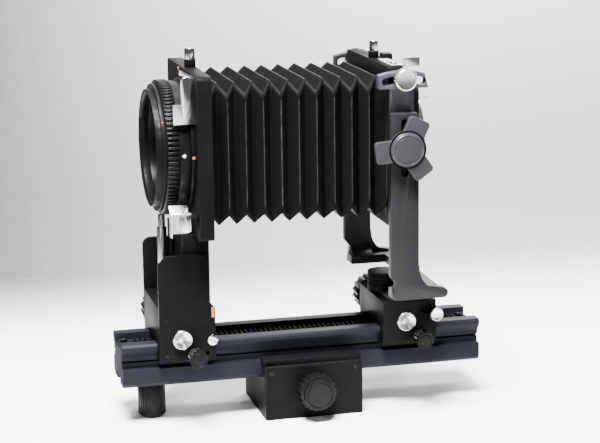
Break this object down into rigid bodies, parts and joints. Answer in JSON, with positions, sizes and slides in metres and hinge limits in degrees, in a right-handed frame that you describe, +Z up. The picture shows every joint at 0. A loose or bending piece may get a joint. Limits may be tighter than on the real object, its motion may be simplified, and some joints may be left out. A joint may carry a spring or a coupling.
{
  "type": "macro bellows unit",
  "caption": "Macro bellows unit: two standards on a geared focusing rail, joined by square pleated bellows, with a lens mount, a swinging and tilting rear frame and a tripod block.",
  "frame": {"origin": "mouth of the tripod bush under the slide block, on the table's surface", "axes": "+X along the rail from the lens end to the camera end, +Y across the rail away from the side with the small knobs and the star knob, +Z up"},
  "size_m": [0.25, 0.1346, 0.2505],
  "materials": {
    "black_metal": "satin black enamel",
    "grey_metal": "satin dark grey anodised",
    "rail_metal": "dark bluish anodised",
    "chrome": "polished chrome",
    "steel": "turned steel",
    "black_knob": "turned satin black",
    "bellows_cloth": "matt black coated cloth, worn grey on the folds",
    "mark_orange": "orange filling"
  },
  "bodies": {
    "block": {"slide_block": "black_metal", "near_jaw": "black_metal", "face_plate": "black_metal", "plate_screws": "black_knob", "tripod_bush": "steel"},
    "focus_drive": {"rail_knob": "black_knob", "rail_pinion": "steel"},
    "rail": {"rail": "rail_metal", "top_rack": "steel", "bottom_rack": "steel", "rail_stops": "black_knob", "foot_stud": "steel"},
    "foot": {"foot": "black_knob"},
    "front_carriage": {"front_saddle": "black_metal", "near_cheek": "grey_metal", "far_cheek": "grey_metal", "cheek_screws": "black_knob", "front_upright": "black_metal", "lens_panel": "black_metal", "mount_flange": "black_metal", "lens_seat": "black_metal", "lever_plate": "chrome", "spring_catch": "chrome", "plunger_tube": "steel", "front_release_post": "black_metal", "front_release_socket": "chrome", "index_marks": "mark_orange", "bellows": "bellows_cloth"},
    "mount_ring": {"collar_ring": "black_metal", "ribbed_ring": "black_metal"},
    "lock_lever": {"lock_lever": "chrome"},
    "catch_roller": {"catch_roller": "chrome"},
    "plunger": {"plunger_rod": "steel"},
    "front_drive": {"front_pinion": "steel", "front_drive_knob": "black_knob", "front_shaft_cap": "chrome"},
    "front_lock": {"front_lock_knob": "black_knob"},
    "rear_carriage": {"rear_saddle": "black_metal", "swing_plate": "grey_metal"},
    "rear_drive": {"rear_pinion": "steel", "rear_drive_knob": "black_knob", "rear_shaft_cap": "chrome"},
    "rear_lock": {"rear_lock_knob": "black_knob"},
    "rear_clamp": {"rear_clamp_screw": "chrome"},
    "yoke": {"turntable": "black_metal", "yoke": "grey_metal"},
    "carrier": {"near_carrier": "grey_metal", "far_carrier": "grey_metal", "far_pivot_screw": "steel"},
    "star_knob": {"star_knob": "black_knob"},
    "rear_frame": {"rear_frame": "black_metal", "camera_housing": "black_metal", "camera_bayonet": "chrome", "rear_release_post": "black_metal", "rear_release_socket": "chrome", "slide_screws": "chrome", "release_pin": "steel"},
    "near_tilt_knob": {"near_tilt_knob": "chrome"},
    "far_tilt_knob": {"far_tilt_knob": "chrome"},
    "release_slide": {"release_slide": "chrome"}
  },
  "joints": [
    {"name": "rail_slide", "type": "slide", "parent": "block", "child": "rail", "axis": [1, 0, 0], "range_m": [-0.06, 0.06]},
    {"name": "focus_turn", "type": "hinge", "parent": "block", "child": "focus_drive", "pos_m": [0, 0, 0.0199], "axis": [0, 1, 0], "range_deg": [-450, 450]},
    {"name": "foot_turn", "type": "hinge", "parent": "rail", "child": "foot", "pos_m": [-0.106, 0, 0.01], "axis": [0, 0, 1], "continuous": true},
    {"name": "front_focus", "type": "slide", "parent": "rail", "child": "front_carriage", "axis": [1, 0, 0], "range_m": [-0.022, 0.028], "deforming": ["bellows"]},
    {"name": "front_drive_turn", "type": "hinge", "parent": "front_carriage", "child": "front_drive", "pos_m": [-0.0893, 0, 0.061], "axis": [0, 1, 0], "range_deg": [-170, 215]},
    {"name": "front_lock_turn", "type": "hinge", "parent": "front_carriage", "child": "front_lock", "pos_m": [-0.0813, 0, 0.0508], "axis": [0, 1, 0], "range_deg": [-180, 0]},
    {"name": "mount_ring_turn", "type": "hinge", "parent": "front_carriage", "child": "mount_ring", "pos_m": [-0.0975, 0, 0.1852], "axis": [1, 0, 0], "range_deg": [0, 60]},
    {"name": "lever_swing", "type": "hinge", "parent": "front_carriage", "child": "lock_lever", "pos_m": [-0.0844, -0.045, 0.233], "axis": [0, 1, 0], "range_deg": [-6, 30]},
    {"name": "roller_turn", "type": "hinge", "parent": "front_carriage", "child": "catch_roller", "pos_m": [-0.0873, -0.0482, 0.145], "axis": [0, 0, 1], "continuous": true},
    {"name": "plunger_slide", "type": "slide", "parent": "front_carriage", "child": "plunger", "axis": [0, 0, 1], "range_m": [-0.012, 0]},
    {"name": "rear_focus", "type": "slide", "parent": "rail", "child": "rear_carriage", "axis": [1, 0, 0], "range_m": [-0.016, 0.02]},
    {"name": "rear_drive_turn", "type": "hinge", "parent": "rear_carriage", "child": "rear_drive", "pos_m": [0.06621, 0, 0.061], "axis": [0, 1, 0], "range_deg": [-125, 155]},
    {"name": "rear_lock_turn", "type": "hinge", "parent": "rear_carriage", "child": "rear_lock", "pos_m": [0.075, 0, 0.0508], "axis": [0, 1, 0], "range_deg": [-180, 0]},
    {"name": "swing_clamp_turn", "type": "hinge", "parent": "rear_carriage", "child": "rear_clamp", "pos_m": [0.0871, 0, 0.0649], "axis": [0, 1, 0], "range_deg": [-180, 0]},
    {"name": "swing", "type": "hinge", "parent": "rear_carriage", "child": "yoke", "pos_m": [0.0585, 0, 0.08], "axis": [0, 0, 1], "range_deg": [-8, 8]},
    {"name": "rise", "type": "slide", "parent": "yoke", "child": "carrier", "axis": [0, 0, 1], "range_m": [-0.01, 0.01]},
    {"name": "star_turn", "type": "hinge", "parent": "carrier", "child": "star_knob", "pos_m": [0.0561, 0, 0.1864], "axis": [0, 1, 0], "range_deg": [-180, 0]},
    {"name": "tilt", "type": "hinge", "parent": "carrier", "child": "rear_frame", "pos_m": [0.0561, 0, 0.1864], "axis": [0, 1, 0], "range_deg": [-10, 10]},
    {"name": "near_tilt_turn", "type": "hinge", "parent": "rear_frame", "child": "near_tilt_knob", "pos_m": [0.0561, 0, 0.2316], "axis": [0, 1, 0], "range_deg": [-180, 0]},
    {"name": "far_tilt_turn", "type": "hinge", "parent": "rear_frame", "child": "far_tilt_knob", "pos_m": [0.0561, 0, 0.2316], "axis": [0, 1, 0], "range_deg": [0, 180]},
    {"name": "release_move", "type": "slide", "parent": "rear_frame", "child": "release_slide", "axis": [0, 1, 0], "range_m": [-0.002, 0.002]}
  ],
  "couplings": [
    {"joint": "focus_turn", "follows": "rail_slide", "rad_per_m": 129.87},
    {"joint": "front_drive_turn", "follows": "front_focus", "rad_per_m": 129.87},
    {"joint": "rear_drive_turn", "follows": "rear_focus", "rad_per_m": 129.87}
  ]
}
